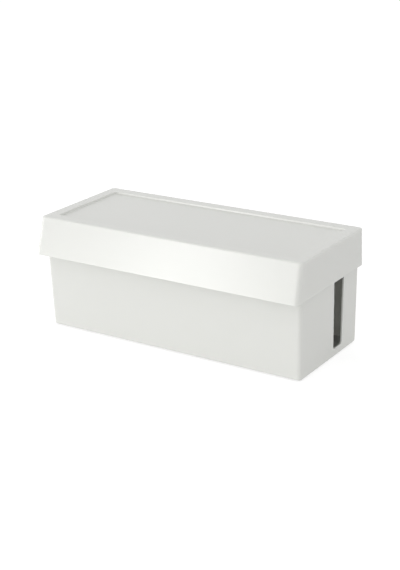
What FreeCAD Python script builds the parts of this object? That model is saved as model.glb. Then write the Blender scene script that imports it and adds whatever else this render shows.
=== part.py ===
"""Cable management box: a tub with a cable slot in each end, standing on four soft feet, and a
lift-off lid whose skirt hangs outside the tub and whose front leans out as a grip.

Millimetres and degrees. +X runs along the box, -Y is its front and +Z is up. The origin is on the
surface that the feet stand on, under the middle of the lid's lower edge.
"""
import FreeCAD
import Part

import math
import os
from collections import namedtuple

# Lid: lengths and depths over the skirt's lower edge, height over everything.
LID_LENGTH = 320.0
LID_DEPTH = 140.0
OVERALL_HEIGHT = 125.0
SKIRT_HEIGHT = 39.6
SKIRT_FLARE_FRONT = 11.8      # how far each side of the skirt leans out on its way down
SKIRT_FLARE_BACK = 0.1
SKIRT_FLARE_END = 0.7
LID_WALL = 2.0
LID_PLATE = 2.4
LID_CORNER_RADIUS = 4.8       # of the skirt's corners, outside
LID_EDGE_RADIUS = 2.0         # along the outer top edge
LID_INSIDE_RADIUS = 0.4       # where the skirt meets the plate
LIP_RADIUS = 0.5              # along the skirt's lower edge

# Recess in the lid's top: its underside drops inside the tub's rim.
RECESS_DEPTH = 2.0
RECESS_GAP = 6.1              # from the tub's inner faces to the dropped underside
RECESS_DRAFT = 16.0
RECESS_CORNER_RADIUS = 3.0
RECESS_LIP_RADIUS = 0.4
RECESS_FOOT_RADIUS = 0.7
DROP_EDGE_RADIUS = 0.8

# Tub: its rim fits inside the skirt and carries the lid's plate.
RIM_CLEARANCE = 0.5
TUB_WALL = 2.2
TUB_FLOOR = 2.6
TUB_DRAFT = 0.92
TUB_CORNER_EASE = 1.7         # how much rounder the tub's corners are than the skirt asks for
TUB_EDGE_RADIUS = 2.0         # along the bottom, outside
TUB_INSIDE_RADIUS = 1.2
RIM_RADIUS = 0.35             # along the rim and the slots' edges

# Cable slots: open at the rim, behind the middle of the tub.
SLOT_WIDTH = 18.6             # at the sill
SLOT_DRAFT = 1.0              # how far each side leans out on its way up
SLOT_SETBACK = 18.1           # from the tub's middle to the slot's middle
SLOT_SILL = 6.0               # from the tub's floor up to the slot
SLOT_CORNER_RADIUS = 3.4

# Feet: soft discs let into the underside.
FOOT_DIAMETER = 13.0
FOOT_STAND_OFF = 1.0          # how far the feet hold the tub off the surface
FOOT_SEAT_DEPTH = 1.0
FOOT_CLEARANCE = 0.2
FOOT_EDGE_RADIUS = 0.4
FOOT_INSET = 16.0             # from the tub's outer faces to a foot's centre

# Heights and corners that pieces share, and the border round the recess.
LID_TOP = OVERALL_HEIGHT
SKIRT_BOTTOM = LID_TOP - SKIRT_HEIGHT
RIM_TOP = LID_TOP - LID_PLATE
RECESS_FLOOR = LID_TOP - RECESS_DEPTH
TUB_BOTTOM = FOOT_STAND_OFF
SILL = TUB_BOTTOM + TUB_FLOOR + SLOT_SILL
LID_INNER_CORNER = LID_CORNER_RADIUS - LID_WALL
TUB_CORNER = LID_INNER_CORNER - RIM_CLEARANCE + TUB_CORNER_EASE
RECESS_BORDER = LID_WALL + RIM_CLEARANCE + TUB_WALL + RECESS_GAP + LID_PLATE

PAST = 5.0                    # how far a cutter runs past what it cuts
NEAR = 1e-3                   # what counts as the same place
ROUND_SHARE = 0.45            # most of a wall that a round along one edge may take

Level = namedtuple("Level", "half_length front back z")


def inset(level, end, front, back):
    """The same level with its sides moved inwards."""
    return Level(level.half_length - end, level.front + front, level.back - back, level.z)


def at_height(low, high, z):
    """The level at height z on the straight walls that join two levels."""
    share = (z - low.z) / (high.z - low.z)
    return Level(*(a + share * (b - a) for a, b in zip(low, high)))


def edge_round(radius, wall):
    """A round for one edge of a wall, kept within the wall."""
    return min(radius, ROUND_SHARE * wall)


def tapered_block(low, high):
    """Solid with flat sloping walls between two level rectangles."""
    corners = [
        FreeCAD.Vector(x, y, level.z)
        for level in (low, high)
        for x, y in (
            (-level.half_length, level.front),
            (level.half_length, level.front),
            (level.half_length, level.back),
            (-level.half_length, level.back),
        )
    ]
    quads = ((3, 2, 1, 0), (4, 5, 6, 7), (0, 1, 5, 4), (1, 2, 6, 5), (2, 3, 7, 6), (3, 0, 4, 7))
    faces = [Part.Face(Part.makePolygon([corners[i] for i in quad + quad[:1]])) for quad in quads]
    return Part.Solid(Part.Shell(faces))


def upright_edges(solid):
    """Edges that climb from one level to another."""
    return [e for e in solid.Edges if e.BoundBox.ZLength > solid.BoundBox.ZLength / 2]


def edges_at(solid, z):
    """Edges that lie in the horizontal plane at height z."""
    return [
        e for e in solid.Edges
        if abs(e.BoundBox.ZMin - z) < NEAR and abs(e.BoundBox.ZMax - z) < NEAR
    ]


def rounded_block(low, high, corner_radius, low_radius=0.0, high_radius=0.0):
    """Tapered block with rounded uprights and, where given, rounded bottom and top edges."""
    solid = tapered_block(low, high)
    solid = solid.makeFillet(corner_radius, upright_edges(solid))
    if low_radius:
        solid = solid.makeFillet(low_radius, edges_at(solid, low.z))
    if high_radius:
        solid = solid.makeFillet(high_radius, edges_at(solid, high.z))
    return solid


def lid_outside():
    """Levels of the lid's outer faces: the skirt's lower edge, and the top."""
    low = Level(LID_LENGTH / 2, -LID_DEPTH / 2, LID_DEPTH / 2, SKIRT_BOTTOM)
    high = inset(low, SKIRT_FLARE_END, SKIRT_FLARE_FRONT, SKIRT_FLARE_BACK)._replace(z=LID_TOP)
    return low, high


def lid_inside():
    """Levels of the skirt's inner faces: past its lower edge, and at the plate's underside."""
    low, high = lid_outside()
    walls = [
        LID_WALL * math.hypot(1.0, flare / SKIRT_HEIGHT)
        for flare in (SKIRT_FLARE_END, SKIRT_FLARE_FRONT, SKIRT_FLARE_BACK)
    ]
    return tuple(inset(at_height(low, high, z), *walls) for z in (SKIRT_BOTTOM - PAST, RIM_TOP))


def recess(floor, top, grow=0.0):
    """Levels of the recess's leaning walls from a floor up to a top, moved outwards by grow."""
    rim = inset(lid_outside()[1], RECESS_BORDER, RECESS_BORDER, RECESS_BORDER)
    lean = math.tan(math.radians(RECESS_DRAFT))
    steps = [(z, lean * (LID_TOP - z) - grow) for z in (floor, top)]
    return tuple(inset(rim, step, step, step)._replace(z=z) for z, step in steps)


def tub_outside():
    """Levels of the tub's outer faces: its underside, and its rim inside the skirt."""
    high = inset(lid_inside()[1], RIM_CLEARANCE, RIM_CLEARANCE, RIM_CLEARANCE)
    lean = math.tan(math.radians(TUB_DRAFT)) * (RIM_TOP - TUB_BOTTOM)
    return inset(high, lean, lean, lean)._replace(z=TUB_BOTTOM), high


def tub_inside():
    """Levels of the tub's inner faces: its floor, and past its open top."""
    low, high = tub_outside()
    return tuple(
        inset(at_height(low, high, z), TUB_WALL, TUB_WALL, TUB_WALL)
        for z in (TUB_BOTTOM + TUB_FLOOR, RIM_TOP + PAST)
    )


def slot_middle():
    """Distance of the slots' middle from the lid's middle, towards the back."""
    low = tub_outside()[0]
    return (low.front + low.back) / 2 + SLOT_SETBACK


def slot_half_width(z):
    """Half of a slot's width at height z."""
    return SLOT_WIDTH / 2 + math.tan(math.radians(SLOT_DRAFT)) * (z - SILL)


def slot_cutter(side):
    """Upright wedge with rounded lower corners that opens the end wall on one side."""
    low, high = tub_outside()
    near = low.half_length - TUB_WALL - PAST
    outline = [
        FreeCAD.Vector(side * near, slot_middle() + hand * slot_half_width(z), z)
        for hand, z in ((-1, SILL), (1, SILL), (1, RIM_TOP + PAST), (-1, RIM_TOP + PAST), (-1, SILL))
    ]
    reach = FreeCAD.Vector(side * (high.half_length + PAST - near), 0, 0)
    wedge = Part.Face(Part.makePolygon(outline)).extrude(reach)
    lower = [e for e in edges_at(wedge, SILL) if e.BoundBox.XLength > TUB_WALL]
    return wedge.makeFillet(SLOT_CORNER_RADIUS, lower)


def slot_edges(shell):
    """Edges where the slots meet the inside and the outside of the end walls."""
    low = tub_outside()[0]
    half = slot_half_width(RIM_TOP)
    return [
        e for e in shell.Edges
        if e.BoundBox.YMin > slot_middle() - half - NEAR
        and e.BoundBox.YMax < slot_middle() + half + NEAR
        and e.BoundBox.ZMin > SILL - NEAR
        and e.BoundBox.ZMin < RIM_TOP - NEAR
        and e.BoundBox.XLength < TUB_WALL - NEAR
        and min(abs(e.BoundBox.XMin), abs(e.BoundBox.XMax)) > low.half_length - TUB_WALL - NEAR
    ]


def foot_places():
    """Name and centre of each foot, inset from the faces of the tub's underside."""
    low = tub_outside()[0]
    rows = (("front", low.front + FOOT_INSET), ("back", low.back - FOOT_INSET))
    columns = (("left", FOOT_INSET - low.half_length), ("right", low.half_length - FOOT_INSET))
    return [
        (f"foot_{row}_{column}", FreeCAD.Vector(x, y, 0))
        for row, y in rows
        for column, x in columns
    ]


def make_tub():
    """Open-topped shell with a slot in each end and a seat for each foot."""
    bottom_round = min(TUB_EDGE_RADIUS, TUB_CORNER)
    shell = rounded_block(*tub_outside(), TUB_CORNER, low_radius=bottom_round)
    shell = shell.cut(rounded_block(*tub_inside(), TUB_INSIDE_RADIUS, low_radius=TUB_INSIDE_RADIUS))
    for side in (-1, 1):
        shell = shell.cut(slot_cutter(side))
    rim_round = edge_round(RIM_RADIUS, TUB_WALL)
    shell = shell.makeFillet(rim_round, edges_at(shell, RIM_TOP) + slot_edges(shell))
    for _, centre in foot_places():
        shell = shell.cut(Part.makeCylinder(
            FOOT_DIAMETER / 2 + FOOT_CLEARANCE,
            FOOT_SEAT_DEPTH,
            centre + FreeCAD.Vector(0, 0, TUB_BOTTOM),
        ))
    return shell


def make_lid():
    """Skirted cap with a shallow recess in its top."""
    low, high = lid_outside()
    cap = rounded_block(low, high, LID_CORNER_RADIUS, high_radius=LID_EDGE_RADIUS)
    cap = cap.cut(rounded_block(*lid_inside(), LID_INNER_CORNER, high_radius=LID_INSIDE_RADIUS))
    cap = cap.makeFillet(edge_round(LIP_RADIUS, LID_WALL), edges_at(cap, SKIRT_BOTTOM))
    drop = rounded_block(
        *recess(RECESS_FLOOR - LID_PLATE, RIM_TOP + LID_PLATE / 2, grow=LID_PLATE),
        RECESS_CORNER_RADIUS + LID_PLATE,
        low_radius=edge_round(DROP_EDGE_RADIUS, RECESS_DEPTH),
    )
    hollow = rounded_block(
        *recess(RECESS_FLOOR, LID_TOP + PAST),
        RECESS_CORNER_RADIUS,
        low_radius=edge_round(RECESS_FOOT_RADIUS, RECESS_DEPTH),
    )
    cap = cap.fuse(drop).cut(hollow).removeSplitter()
    reach = high.half_length - RECESS_BORDER / 2
    lip = [e for e in edges_at(cap, LID_TOP) if max(abs(e.BoundBox.XMin), abs(e.BoundBox.XMax)) < reach]
    return cap.makeFillet(edge_round(RECESS_LIP_RADIUS, RECESS_DEPTH), lip)


def make_foot(centre):
    """Soft disc from its seat in the underside down to the surface."""
    disc = Part.makeCylinder(FOOT_DIAMETER / 2, FOOT_STAND_OFF + FOOT_SEAT_DEPTH, centre)
    return disc.makeFillet(edge_round(FOOT_EDGE_RADIUS, FOOT_STAND_OFF), edges_at(disc, 0.0))


def main():
    """Builds every piece and writes it to its own file."""
    os.makedirs("parts", exist_ok=True)
    pieces = {"tub": make_tub(), "lid": make_lid()}
    pieces.update((name, make_foot(centre)) for name, centre in foot_places())
    for name, shape in pieces.items():
        shape.exportStep(f"parts/{name}.step")
        box = shape.BoundBox
        print(
            f"{name}: {len(shape.Solids)} solid, valid {shape.isValid()}, {shape.Volume / 1000:.2f} cm3,",
            f"x {box.XMin:.2f}..{box.XMax:.2f}, y {box.YMin:.2f}..{box.YMax:.2f},",
            f"z {box.ZMin:.2f}..{box.ZMax:.2f}",
        )


main()
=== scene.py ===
"""Looks of the cable management box: moulded white plastic tub and lid, soft feet, studio and camera.

Metres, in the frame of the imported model: +X along the box, -Y is its front, +Z is up.
"""

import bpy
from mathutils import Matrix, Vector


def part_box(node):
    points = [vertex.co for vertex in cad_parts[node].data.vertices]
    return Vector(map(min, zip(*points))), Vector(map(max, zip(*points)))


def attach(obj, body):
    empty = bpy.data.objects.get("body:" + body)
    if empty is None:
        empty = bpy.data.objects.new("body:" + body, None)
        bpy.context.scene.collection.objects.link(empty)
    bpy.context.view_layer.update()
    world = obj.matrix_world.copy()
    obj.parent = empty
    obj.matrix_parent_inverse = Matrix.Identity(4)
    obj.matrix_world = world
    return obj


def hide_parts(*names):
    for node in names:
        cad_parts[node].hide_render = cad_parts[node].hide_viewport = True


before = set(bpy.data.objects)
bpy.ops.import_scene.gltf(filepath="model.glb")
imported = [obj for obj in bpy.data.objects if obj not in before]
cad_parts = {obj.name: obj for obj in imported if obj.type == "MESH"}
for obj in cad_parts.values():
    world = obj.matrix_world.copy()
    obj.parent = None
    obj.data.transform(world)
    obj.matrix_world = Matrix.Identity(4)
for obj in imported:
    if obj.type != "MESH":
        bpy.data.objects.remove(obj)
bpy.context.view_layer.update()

import logging
import math
from collections.abc import Callable
from dataclasses import dataclass, field
from enum import Enum

import bpy
from mathutils import Matrix, Vector

MM = 0.001
SAME_PLACE = 0.01 * MM  # how far apart two points may be and still count as level or on one ring
SQUARE_ON = 0.9  # least share of a face's normal along Z for the face to count as flat
FINE_TO_PITS = 2.3  # the finer unevenness's scale as a multiple of the pits' scale
SWELL_TO_CLOUDS = 0.6  # the swell's scale as a share of the clouds' scale, which makes it broader
LOG = logging.getLogger("cable_box")


class Body(str, Enum):
    """Bodies that pieces ride on."""

    TUB = "tub"
    LID = "lid"


class Slot(str, Enum):
    """Material slots that pieces take their finish from."""

    PLASTIC = "white_plastic"
    RUBBER = "foot_rubber"


# Node helpers


def set_inputs(node: bpy.types.Node, values: dict) -> bpy.types.Node:
    """Sets a node's input sockets.

    Args:
        node: The node.
        values: What each input becomes, by the socket's name.

    Returns:
        The same node.
    """
    for name, value in values.items():
        node.inputs[name].default_value = value
    return node


def add_node(
    tree: bpy.types.NodeTree, kind: str, place: tuple[float, float] = (0, 0), **settings: object
) -> bpy.types.Node:
    """Adds a node to a tree.

    Args:
        tree: The node tree.
        kind: The node's Blender type.
        place: Where it stands in the editor.
        settings: Values of the node's own properties.

    Returns:
        The new node.
    """
    node = tree.nodes.new(kind)
    node.location = place
    for name, value in settings.items():
        setattr(node, name, value)
    return node


def grey(level: float) -> tuple[float, float, float, float]:
    """Gives the opaque colour without a tint that has one level in all three parts."""
    return (level, level, level, 1.0)


def new_group(name: str, inputs: dict[str, float], outputs: tuple[str, ...]) -> bpy.types.NodeTree:
    """Makes an empty shader node group.

    Args:
        name: The group's name.
        inputs: Its float inputs, with what each is unless set.
        outputs: Its float outputs.

    Returns:
        The group, with its input and output nodes placed and a Vector input first.
    """
    group = bpy.data.node_groups.new(name, "ShaderNodeTree")
    group.interface.new_socket("Vector", in_out="INPUT", socket_type="NodeSocketVector")
    for key, value in inputs.items():
        socket = group.interface.new_socket(key, in_out="INPUT", socket_type="NodeSocketFloat")
        socket.default_value = value
    for key in outputs:
        group.interface.new_socket(key, in_out="OUTPUT", socket_type="NodeSocketFloat")
    add_node(group, "NodeGroupInput", (-900, 0), name="in")
    add_node(group, "NodeGroupOutput", (700, 0), name="out")
    return group


def spark_texture_group() -> bpy.types.NodeTree:
    """Fine pitted texture that a spark-eroded mould leaves on plastic.

    Returns:
        A group with a Height from 0 to 1: pits of one size over a finer unevenness.
    """
    group = new_group("spark_texture", {"Scale": 2200.0, "Fine Share": 0.35}, ("Height",))
    source, out = group.nodes["in"], group.nodes["out"]
    pits = add_node(group, "ShaderNodeTexVoronoi", (-600, 150), feature="SMOOTH_F1")
    set_inputs(pits, {"Smoothness": 0.6, "Randomness": 1.0})
    fine = add_node(group, "ShaderNodeTexNoise", (-600, -200))
    set_inputs(fine, {"Detail": 3.0, "Roughness": 0.6})
    finer = add_node(group, "ShaderNodeMath", (-760, -200), operation="MULTIPLY")
    finer.inputs[1].default_value = FINE_TO_PITS
    mix = add_node(group, "ShaderNodeMix", (-200, 0), data_type="FLOAT")
    link = group.links.new
    link(source.outputs["Vector"], pits.inputs["Vector"])
    link(source.outputs["Scale"], pits.inputs["Scale"])
    link(source.outputs["Scale"], finer.inputs[0])
    link(source.outputs["Vector"], fine.inputs["Vector"])
    link(finer.outputs[0], fine.inputs["Scale"])
    link(source.outputs["Fine Share"], mix.inputs["Factor"])
    link(pits.outputs["Distance"], mix.inputs["A"])
    link(fine.outputs["Fac"], mix.inputs["B"])
    link(mix.outputs["Result"], out.inputs["Height"])
    return group


def flow_group() -> bpy.types.NodeTree:
    """Broad, faint unevenness of a moulding: how the melt flowed and how the wall sank.

    Returns:
        A group with a Tone around 0.5 and a Height from 0 to 1.
    """
    group = new_group("moulding_flow", {"Scale": 9.0, "Stretch": 2.5}, ("Tone", "Height"))
    source, out = group.nodes["in"], group.nodes["out"]
    spread = add_node(group, "ShaderNodeCombineXYZ", (-760, -160))
    set_inputs(spread, {"Y": 1.0, "Z": 1.0})
    shrink = add_node(group, "ShaderNodeMath", (-880, -240), operation="DIVIDE")
    shrink.inputs[0].default_value = 1.0
    stretched = add_node(group, "ShaderNodeVectorMath", (-600, 0), operation="MULTIPLY")
    clouds = add_node(group, "ShaderNodeTexNoise", (-400, 120))
    set_inputs(clouds, {"Detail": 2.0, "Roughness": 0.45, "Distortion": 0.4})
    swell = add_node(group, "ShaderNodeTexNoise", (-400, -160))
    set_inputs(swell, {"Detail": 0.0, "Roughness": 0.3})
    broader = add_node(group, "ShaderNodeMath", (-560, -220), operation="MULTIPLY")
    broader.inputs[1].default_value = SWELL_TO_CLOUDS
    link = group.links.new
    link(source.outputs["Stretch"], shrink.inputs[1])
    link(shrink.outputs[0], spread.inputs["X"])
    link(source.outputs["Vector"], stretched.inputs[0])
    link(spread.outputs[0], stretched.inputs[1])
    link(stretched.outputs[0], clouds.inputs["Vector"])
    link(stretched.outputs[0], swell.inputs["Vector"])
    link(source.outputs["Scale"], clouds.inputs["Scale"])
    link(source.outputs["Scale"], broader.inputs[0])
    link(broader.outputs[0], swell.inputs["Scale"])
    link(clouds.outputs["Fac"], out.inputs["Tone"])
    link(swell.outputs["Fac"], out.inputs["Height"])
    return group


def handling_group() -> bpy.types.NodeTree:
    """Faint rubs and settled dust: sparse soft patches, and more of them on what faces up.

    Returns:
        A group with a Mask from 0 to 1.
    """
    group = new_group("handling", {"Scale": 28.0, "Amount": 0.5, "Settled": 0.3}, ("Mask",))
    source, out = group.nodes["in"], group.nodes["out"]
    patches = add_node(group, "ShaderNodeTexNoise", (-600, 150))
    set_inputs(patches, {"Detail": 4.0, "Roughness": 0.62})
    sparse = add_node(group, "ShaderNodeMapRange", (-400, 150), interpolation_type="SMOOTHSTEP")
    set_inputs(sparse, {"From Min": 0.52, "From Max": 0.78})
    facing = add_node(group, "ShaderNodeNewGeometry", (-800, -200))
    upwards = add_node(group, "ShaderNodeSeparateXYZ", (-600, -200))
    up = add_node(group, "ShaderNodeMath", (-400, -200), operation="MULTIPLY", use_clamp=True)
    scaled = add_node(group, "ShaderNodeMath", (-200, 100), operation="MULTIPLY")
    both = add_node(group, "ShaderNodeMath", (0, 0), operation="MULTIPLY_ADD", use_clamp=True)
    link = group.links.new
    link(source.outputs["Vector"], patches.inputs["Vector"])
    link(source.outputs["Scale"], patches.inputs["Scale"])
    link(patches.outputs["Fac"], sparse.inputs["Value"])
    link(facing.outputs["True Normal"], upwards.inputs[0])
    link(upwards.outputs["Z"], up.inputs[0])
    link(source.outputs["Settled"], up.inputs[1])
    link(sparse.outputs["Result"], scaled.inputs[0])
    link(source.outputs["Amount"], scaled.inputs[1])
    link(up.outputs[0], both.inputs[0])
    link(patches.outputs["Fac"], both.inputs[1])
    link(scaled.outputs[0], both.inputs[2])
    link(both.outputs[0], out.inputs["Mask"])
    return group


@dataclass
class Effects:
    """Node groups that the finishes share, each built once."""

    spark: bpy.types.NodeTree = field(default_factory=spark_texture_group)
    flow: bpy.types.NodeTree = field(default_factory=flow_group)
    handling: bpy.types.NodeTree = field(default_factory=handling_group)

    @staticmethod
    def place(
        tree: bpy.types.NodeTree, group: bpy.types.NodeTree, vector: bpy.types.NodeSocket, **values: float
    ) -> bpy.types.Node:
        """Puts a group in a material's tree.

        Args:
            tree: The material's node tree.
            group: The group to use.
            vector: The coordinates it reads.
            values: Its inputs, with underscores for spaces.

        Returns:
            The group's node.
        """
        node = add_node(tree, "ShaderNodeGroup", (-600, 0), node_tree=group)
        for name, value in values.items():
            node.inputs[name.replace("_", " ")].default_value = value
        tree.links.new(vector, node.inputs["Vector"])
        return node


@dataclass(frozen=True)
class Finish:
    """A moulded surface: a colour that varies a little, over a grain and a broad unevenness.

    Scatter lets a thin white wall pass some light, as such plastic does.
    """

    name: str
    colour: tuple[float, float, float]
    shade: tuple[float, float, float]
    rubbed: tuple[float, float, float]
    roughness: float
    roughness_spread: float
    grain_scale: float
    grain_depth: float
    swell_depth: float
    tone_share: float
    handling: float
    specular: float = 0.5
    refraction: float = 1.49
    scatter: float = 0.0
    scatter_reach: float = 3.3 * MM

    def material(self, effects: Effects) -> bpy.types.Material:
        """Builds the finish.

        Args:
            effects: The shared node groups.

        Returns:
            The material, on Object coordinates.
        """
        material = bpy.data.materials.new(self.name)
        material.use_nodes = True
        tree = material.node_tree
        tree.nodes.clear()
        link = tree.links.new
        where = add_node(tree, "ShaderNodeTexCoord", (-1000, 0)).outputs["Object"]
        grain = Effects.place(tree, effects.spark, where, Scale=self.grain_scale)
        flow = Effects.place(tree, effects.flow, where)
        handled = Effects.place(tree, effects.handling, where, Amount=self.handling)

        tone = add_node(tree, "ShaderNodeMix", (-300, 300), data_type="RGBA")
        tone.inputs["A"].default_value = (*self.colour, 1.0)
        tone.inputs["B"].default_value = (*self.shade, 1.0)
        share = add_node(tree, "ShaderNodeMath", (-450, 300), operation="MULTIPLY", use_clamp=True)
        share.inputs[1].default_value = self.tone_share
        worn = add_node(tree, "ShaderNodeMix", (-100, 300), data_type="RGBA")
        worn.inputs["B"].default_value = (*self.rubbed, 1.0)
        wear = add_node(tree, "ShaderNodeMath", (-250, 150), operation="MULTIPLY", use_clamp=True)
        wear.inputs[1].default_value = self.handling
        gloss = add_node(tree, "ShaderNodeMapRange", (-300, 0))
        set_inputs(gloss, {
            "To Min": self.roughness - self.roughness_spread,
            "To Max": self.roughness + self.roughness_spread,
        })
        swell = add_node(tree, "ShaderNodeBump", (-300, -200))
        set_inputs(swell, {"Strength": 1.0, "Distance": self.swell_depth})
        pits = add_node(tree, "ShaderNodeBump", (-100, -200))
        set_inputs(pits, {"Strength": 1.0, "Distance": self.grain_depth})
        shader = add_node(tree, "ShaderNodeBsdfPrincipled", (150, 100))
        set_inputs(shader, {
            "Specular IOR Level": self.specular,
            "IOR": self.refraction,
            "Subsurface Weight": self.scatter,
            "Subsurface Radius": (1.0, 1.0, 1.0),
            "Subsurface Scale": self.scatter_reach,
        })
        out = add_node(tree, "ShaderNodeOutputMaterial", (450, 100))

        link(flow.outputs["Tone"], share.inputs[0])
        link(share.outputs[0], tone.inputs["Factor"])
        link(tone.outputs["Result"], worn.inputs["A"])
        link(handled.outputs["Mask"], wear.inputs[0])
        link(wear.outputs[0], worn.inputs["Factor"])
        link(worn.outputs["Result"], shader.inputs["Base Color"])
        link(handled.outputs["Mask"], gloss.inputs["Value"])
        link(gloss.outputs["Result"], shader.inputs["Roughness"])
        link(flow.outputs["Height"], swell.inputs["Height"])
        link(grain.outputs["Height"], pits.inputs["Height"])
        link(swell.outputs["Normal"], pits.inputs["Normal"])
        link(pits.outputs["Normal"], shader.inputs["Normal"])
        link(shader.outputs["BSDF"], out.inputs["Surface"])
        return material


WHITE_PLASTIC = Finish(
    name="moulded_white_plastic",
    colour=(0.801, 0.807, 0.773),
    shade=(0.781, 0.787, 0.752),
    rubbed=(0.770, 0.775, 0.740),
    roughness=0.27,
    roughness_spread=0.03,
    grain_scale=1900.0,
    grain_depth=0.012 * MM,
    swell_depth=0.10 * MM,
    tone_share=0.5,
    handling=0.10,
    scatter=0.45,
)
PALE_RUBBER = Finish(
    name="pale_soft_rubber",
    colour=(0.52, 0.52, 0.50),
    shade=(0.46, 0.46, 0.44),
    rubbed=(0.36, 0.355, 0.34),
    roughness=0.72,
    roughness_spread=0.08,
    grain_scale=2600.0,
    grain_depth=0.02 * MM,
    swell_depth=0.05 * MM,
    tone_share=0.8,
    handling=0.55,
    specular=0.35,
)


# Modelling helpers


def deselect() -> None:
    """Leaves nothing selected, because an operator acts on all that is."""
    for thing in bpy.context.selected_objects:
        thing.select_set(False)


def select_faces(thing: bpy.types.Object, test: Callable[[Vector, Vector], bool]) -> None:
    """Selects, in edit mode, the faces that pass a test, and nothing else.

    Args:
        thing: The piece that is being shaped.
        test: Says yes or no to a face by its centre and its normal.
    """
    bpy.ops.mesh.select_all(action="DESELECT")
    bpy.ops.object.mode_set(mode="OBJECT")
    for face in thing.data.polygons:
        face.select = bool(test(face.center, face.normal))
    bpy.ops.object.mode_set(mode="EDIT")


def face_outwards(thing: bpy.types.Object) -> None:
    """Leaves edit mode with a closed piece's faces outwards, so that its lowest face looks down.

    Args:
        thing: The piece that is being shaped.
    """
    bpy.ops.mesh.select_all(action="SELECT")
    bpy.ops.mesh.normals_make_consistent(inside=False)
    bpy.ops.object.mode_set(mode="OBJECT")
    lowest = min(thing.data.polygons, key=lambda face: face.center.z)
    if lowest.normal.z > 0:
        bpy.ops.object.mode_set(mode="EDIT")
        bpy.ops.mesh.select_all(action="SELECT")
        bpy.ops.mesh.flip_normals()
        bpy.ops.object.mode_set(mode="OBJECT")


def settle(thing: bpy.types.Object, smooth_below: float = 35.0) -> bpy.types.Object:
    """Puts a finished piece's place into its mesh and smooths its shading.

    Args:
        thing: The piece.
        smooth_below: Degrees between two faces up to which their edge is shaded smooth.

    Returns:
        The same piece.
    """
    deselect()
    thing.select_set(True)
    bpy.context.view_layer.objects.active = thing
    bpy.ops.object.transform_apply(location=True, rotation=True, scale=True)
    bpy.ops.object.shade_smooth_by_angle(angle=math.radians(smooth_below))
    deselect()
    return thing


def dress(thing: bpy.types.Object, material: bpy.types.Material, body: Body) -> None:
    """Gives a piece its finish and its body, and reports it.

    Args:
        thing: The piece.
        material: Its finish.
        body: The body it rides on.
    """
    thing.data.materials.clear()
    thing.data.materials.append(material)
    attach(thing, body.value)
    LOG.info("%s rides on %s, %d faces", thing.name, body.value, len(thing.data.polygons))


def keep_cad(node: str, material: bpy.types.Material) -> None:
    """Gives a CAD node a better material and leaves its shape alone.

    Args:
        node: The CAD node's name.
        material: Its finish.
    """
    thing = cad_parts[node]
    for holder in thing.material_slots:
        holder.material = material
    LOG.info("%s keeps its CAD shape", node)


@dataclass
class Foot:
    """One soft disc: a rolled edge, a ring groove and a shallow dish underneath, as such feet have."""

    node: str
    groove_inset: float = 1.6 * MM
    groove_width: float = 0.7 * MM
    groove_depth: float = 0.35 * MM
    dish_inset: float = 1.3 * MM
    dish_depth: float = 0.12 * MM
    edge_round: float = 0.35 * MM
    rolled_share: float = 0.9
    rolled_steps: int = 4
    sides: int = 96

    def build(self) -> bpy.types.Object:
        """Models the foot in place.

        Returns:
            The finished piece, which stands for its CAD node.
        """
        low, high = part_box(self.node)
        centre = (low + high) / 2
        deselect()
        bpy.ops.mesh.primitive_cylinder_add(
            vertices=self.sides, radius=(high.x - low.x) / 2, depth=high.z - low.z, location=centre
        )
        thing = bpy.context.object
        thing.name = f"{self.node}_disc"
        bpy.ops.object.mode_set(mode="EDIT")
        select_faces(thing, lambda at, normal: abs(normal.z) > SQUARE_ON)
        bpy.ops.mesh.inset(thickness=self.edge_round)
        self._round_edges(thing)
        select_faces(thing, lambda at, normal: normal.z < -SQUARE_ON and at.length < high.z - low.z)
        bpy.ops.mesh.inset(thickness=self.groove_inset)
        bpy.ops.mesh.inset(thickness=self.groove_width)
        bpy.ops.mesh.inset(thickness=self.dish_inset)
        bpy.ops.transform.translate(value=(0, 0, self.dish_depth))
        bpy.ops.object.mode_set(mode="OBJECT")
        bpy.ops.object.mode_set(mode="EDIT")
        outer = (high.x - low.x) / 2 - self.edge_round - self.groove_inset
        inner = outer - self.groove_width

        def in_groove(at: Vector, normal: Vector) -> bool:
            """Whether a face lies on the ring that sinks."""
            reach = math.hypot(at.x, at.y)
            return normal.z < -SQUARE_ON and inner - SAME_PLACE < reach < outer + SAME_PLACE

        select_faces(thing, in_groove)
        bpy.ops.mesh.extrude_region_move(TRANSFORM_OT_translate={"value": (0, 0, self.groove_depth)})
        face_outwards(thing)
        return settle(thing)

    def _round_edges(self, thing: bpy.types.Object) -> None:
        """Rolls the disc's two outer edges over.

        Args:
            thing: The disc, in edit mode.
        """
        bpy.ops.mesh.select_all(action="DESELECT")
        bpy.ops.object.mode_set(mode="OBJECT")
        reach = max(math.hypot(v.co.x, v.co.y) for v in thing.data.vertices) - SAME_PLACE
        for edge in thing.data.edges:
            ends = [thing.data.vertices[i].co for i in edge.vertices]
            level = abs(ends[0].z - ends[1].z) < SAME_PLACE
            edge.select = level and all(math.hypot(end.x, end.y) > reach for end in ends)
        bpy.ops.object.mode_set(mode="EDIT")
        bpy.ops.mesh.bevel(
            offset=self.edge_round * self.rolled_share, segments=self.rolled_steps, affect="EDGES"
        )

    def finish(self, material: bpy.types.Material) -> None:
        """Builds and dresses the foot.

        Args:
            material: Its finish.
        """
        thing = self.build()
        dress(thing, material, Body.TUB)
        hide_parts(self.node)


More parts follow.
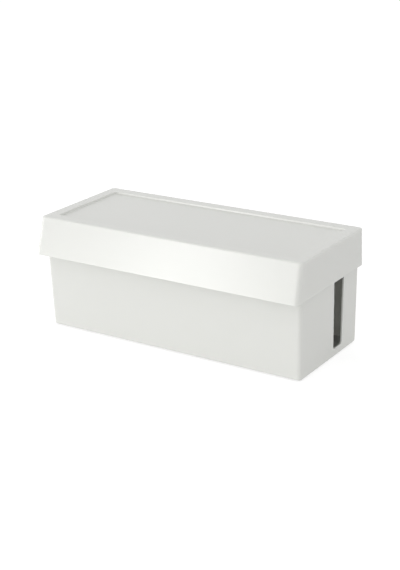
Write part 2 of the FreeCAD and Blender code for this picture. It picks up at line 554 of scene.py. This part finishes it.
@dataclass
class PinMark:
    """Round mark that a mould's ejector pin leaves: a low ring with a shallow dish in it."""

    name: str
    body: Body
    place: Vector
    facing: int
    radius: float = 4.0 * MM
    ring_width: float = 0.45 * MM
    proud: float = 0.14 * MM
    dish: float = 0.10 * MM
    rooted: float = 0.40 * MM
    sides: int = 64

    def build(self) -> bpy.types.Object:
        """Models the mark on its wall.

        Returns:
            The finished piece.
        """
        deselect()
        middle = self.place + Vector((0, 0, self.facing * (self.proud - self.rooted) / 2))
        bpy.ops.mesh.primitive_cylinder_add(
            vertices=self.sides, radius=self.radius, depth=self.proud + self.rooted, location=middle
        )
        thing = bpy.context.object
        thing.name = self.name
        bpy.ops.object.mode_set(mode="EDIT")
        select_faces(thing, lambda at, normal: normal.z * self.facing > SQUARE_ON)
        bpy.ops.mesh.inset(thickness=self.ring_width)
        bpy.ops.transform.translate(value=(0, 0, -self.facing * self.dish))
        bpy.ops.mesh.inset(thickness=self.ring_width)
        self._shape_middle()
        face_outwards(thing)
        return settle(thing)

    def _shape_middle(self) -> None:
        """Shapes the selected middle face; a pin leaves it flat."""

    def finish(self, material: bpy.types.Material) -> None:
        """Builds and dresses the mark."""
        dress(self.build(), material, self.body)


@dataclass
class GateMark(PinMark):
    """Mark where the melt came in: the same ring and dish round the stub of the cut-off sprue."""

    radius: float = 6.0 * MM
    stub_radius: float = 1.1 * MM
    stub_height: float = 0.45 * MM
    stub_taper: float = 0.25 * MM

    def _shape_middle(self) -> None:
        """Raises the stub from the middle face and rounds its end."""
        bpy.ops.mesh.inset(thickness=self.radius - 2 * self.ring_width - self.stub_radius)
        bpy.ops.mesh.extrude_region_move(
            TRANSFORM_OT_translate={"value": (0, 0, self.facing * self.stub_height)}
        )
        bpy.ops.mesh.inset(thickness=self.stub_taper)
        bpy.ops.transform.translate(value=(0, 0, self.facing * self.stub_taper / 2))


@dataclass
class MouldMarks:
    """Where the marks stand: pins on the tub's floor and the lid's underside, a gate under the tub."""

    tub_floor: float = 2.6 * MM
    lid_drop: float = 4.4 * MM
    columns: tuple[float, ...] = (-105 * MM, -35 * MM, 35 * MM, 105 * MM)
    row: float = 34 * MM

    def marks(self) -> list[PinMark]:
        """Works out every mark from the tub's and the lid's boxes.

        Returns:
            The marks, not built yet.
        """
        low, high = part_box("tub")
        middle = (low.y + high.y) / 2
        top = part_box("lid")[1].z
        found = [GateMark("tub_gate_mark", Body.TUB, Vector((0, middle, low.z)), -1)]
        for column, x in enumerate(self.columns, start=1):
            for side, y in (("front", middle - self.row), ("back", middle + self.row)):
                on_floor = Vector((x, y, low.z + self.tub_floor))
                under_lid = Vector((x, y, top - self.lid_drop))
                found.append(PinMark(f"tub_pin_mark_{side}_{column}", Body.TUB, on_floor, 1))
                found.append(PinMark(f"lid_pin_mark_{side}_{column}", Body.LID, under_lid, -1))
        return found

    def finish(self, material: bpy.types.Material) -> None:
        """Builds every mark and dresses it in the finish of the walls."""
        for mark in self.marks():
            mark.finish(material)


@dataclass
class Studio:
    """Plain pale floor, soft lamps and the camera at the photograph's viewing angle."""

    picture: tuple[int, int] = (400, 570)
    azimuth: float = 33.923
    elevation: float = 20.212
    roll: float = -1.648
    focal_pixels: float = 1235.57
    camera_at: tuple[float, float, float] = (0.68780, -1.01679, 0.50815)
    sensor: float = 36.0
    near_clip: float = 0.01
    floor_size: float = 6.0
    floor_gap: float = 0.2 * MM
    floor_shown: float = 0.45
    floor_glow: float = 0.72
    floor_lit: float = 0.88
    sky: float = 0.73
    lamp_distance: float = 2.4
    lamp_aim: Vector = field(default_factory=lambda: Vector((0, 0, 0.07)))

    def camera(self) -> None:
        """Sets the camera where the photograph was taken from."""
        around, above, lean = (math.radians(a) for a in (self.azimuth, self.elevation, self.roll))
        back = Vector((
            math.sin(around) * math.cos(above), -math.cos(around) * math.cos(above), math.sin(above)
        ))
        level = Vector((math.cos(around), math.sin(around), 0.0))
        rise = back.cross(level)
        right = level * math.cos(lean) + rise * math.sin(lean)
        up = rise * math.cos(lean) - level * math.sin(lean)
        data = bpy.data.cameras.new("photo_view")
        data.sensor_width = self.sensor
        data.lens = self.focal_pixels / max(self.picture) * self.sensor
        data.clip_start = self.near_clip
        thing = bpy.data.objects.new("photo_view", data)
        turned = Matrix((right, up, back)).transposed().to_4x4()
        thing.matrix_world = Matrix.Translation(self.camera_at) @ turned
        bpy.context.scene.collection.objects.link(thing)
        bpy.context.scene.camera = thing

    @staticmethod
    def seen_as_backdrop(tree: bpy.types.NodeTree) -> bpy.types.NodeSocket:
        """Finds rays that show the backdrop itself: camera, glossy and transmission rays.

        Args:
            tree: The node tree of the world or of the floor.

        Returns:
            A socket that is 1 for such rays and 0 for the rest.
        """
        path = add_node(tree, "ShaderNodeLightPath")
        shown = path.outputs["Is Camera Ray"]
        for ray in ("Is Glossy Ray", "Is Transmission Ray"):
            either = add_node(tree, "ShaderNodeMath", operation="MAXIMUM")
            tree.links.new(shown, either.inputs[0])
            tree.links.new(path.outputs[ray], either.inputs[1])
            shown = either.outputs[0]
        return shown

    def world(self) -> None:
        """Even light all round; what the camera, gloss and glass see of it is plain white."""
        world = bpy.data.worlds.new("studio")
        world.use_nodes = True
        bpy.context.scene.world = world
        tree = world.node_tree
        tree.nodes.clear()
        link = tree.links.new
        soft = set_inputs(add_node(tree, "ShaderNodeBackground"), {"Strength": self.sky})
        soft.inputs["Color"].default_value = grey(1.0)
        white = set_inputs(add_node(tree, "ShaderNodeBackground"), {"Strength": 1.0})
        white.inputs["Color"].default_value = grey(1.0)
        mix = add_node(tree, "ShaderNodeMixShader")
        out = add_node(tree, "ShaderNodeOutputWorld")
        link(self.seen_as_backdrop(tree), mix.inputs["Fac"])
        link(soft.outputs[0], mix.inputs[1])
        link(white.outputs[0], mix.inputs[2])
        link(mix.outputs[0], out.inputs["Surface"])

    def floor(self) -> None:
        """A wide floor just under the feet, which reads white and keeps the box's soft shadow."""
        deselect()
        bpy.ops.mesh.primitive_plane_add(size=self.floor_size, location=(0, 0, -self.floor_gap))
        thing = bpy.context.object
        thing.name = "floor"
        material = bpy.data.materials.new("floor_paper")
        material.use_nodes = True
        tree = material.node_tree
        tree.nodes.clear()
        link = tree.links.new
        shown = add_node(tree, "ShaderNodeBsdfDiffuse")
        shown.inputs["Color"].default_value = grey(self.floor_shown)
        glow = add_node(tree, "ShaderNodeEmission")
        glow.inputs["Strength"].default_value = self.floor_glow
        both = add_node(tree, "ShaderNodeAddShader")
        lit = add_node(tree, "ShaderNodeBsdfDiffuse")
        lit.inputs["Color"].default_value = grey(self.floor_lit)
        mix = add_node(tree, "ShaderNodeMixShader")
        out = add_node(tree, "ShaderNodeOutputMaterial")
        link(shown.outputs[0], both.inputs[0])
        link(glow.outputs[0], both.inputs[1])
        link(self.seen_as_backdrop(tree), mix.inputs["Fac"])
        link(lit.outputs[0], mix.inputs[1])
        link(both.outputs[0], mix.inputs[2])
        link(mix.outputs[0], out.inputs["Surface"])
        thing.data.materials.append(material)

    def lamp(
        self, name: str, towards: tuple[float, float, float], size: tuple[float, float], level: float
    ) -> None:
        """Adds a soft lamp that shines at the box.

        Args:
            name: The lamp's name.
            towards: Direction from the box to the lamp.
            size: Width and height in metres.
            level: How much a white surface that faces it gains.
        """
        data = bpy.data.lights.new(name, "AREA")
        data.shape = "RECTANGLE"
        data.size, data.size_y = size
        data.energy = level * math.pi * math.pi * self.lamp_distance ** 2
        thing = bpy.data.objects.new(name, data)
        away = Vector(towards).normalized()
        thing.location = self.lamp_aim + away * self.lamp_distance
        thing.rotation_euler = away.to_track_quat("Z", "Y").to_euler()
        bpy.context.scene.collection.objects.link(thing)

    def build(self) -> None:
        """Makes the whole studio."""
        self.camera()
        self.world()
        self.floor()
        self.lamp("front", (0.05, -0.99, 0.10), (1.6, 0.5), 0.13)
        self.lamp("left", (-0.90, -0.42, 0.12), (1.0, 0.6), 0.18)
        self.lamp("strip", (-0.515, -0.844, 0.145), (0.3, 0.6), 0.10)
        bpy.context.scene.view_settings.view_transform = "Standard"


@dataclass
class CableBox:
    """The whole box: CAD mouldings with a real finish, modelled feet and mould marks."""

    effects: Effects
    studio: Studio = field(default_factory=Studio)

    def build(self) -> None:
        """Makes everything in order."""
        self.studio.build()
        plastic = WHITE_PLASTIC.material(self.effects)
        rubber = PALE_RUBBER.material(self.effects)
        keep_cad("tub", plastic)
        keep_cad("lid", plastic)
        MouldMarks().finish(plastic)
        for node in sorted(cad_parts):
            if node.startswith("foot_"):
                Foot(node).finish(rubber)


def main() -> None:
    """Builds the scene."""
    logging.basicConfig(level=logging.INFO, format="%(name)s: %(message)s")
    CableBox(Effects()).build()


if __name__ == "__main__":
    main()
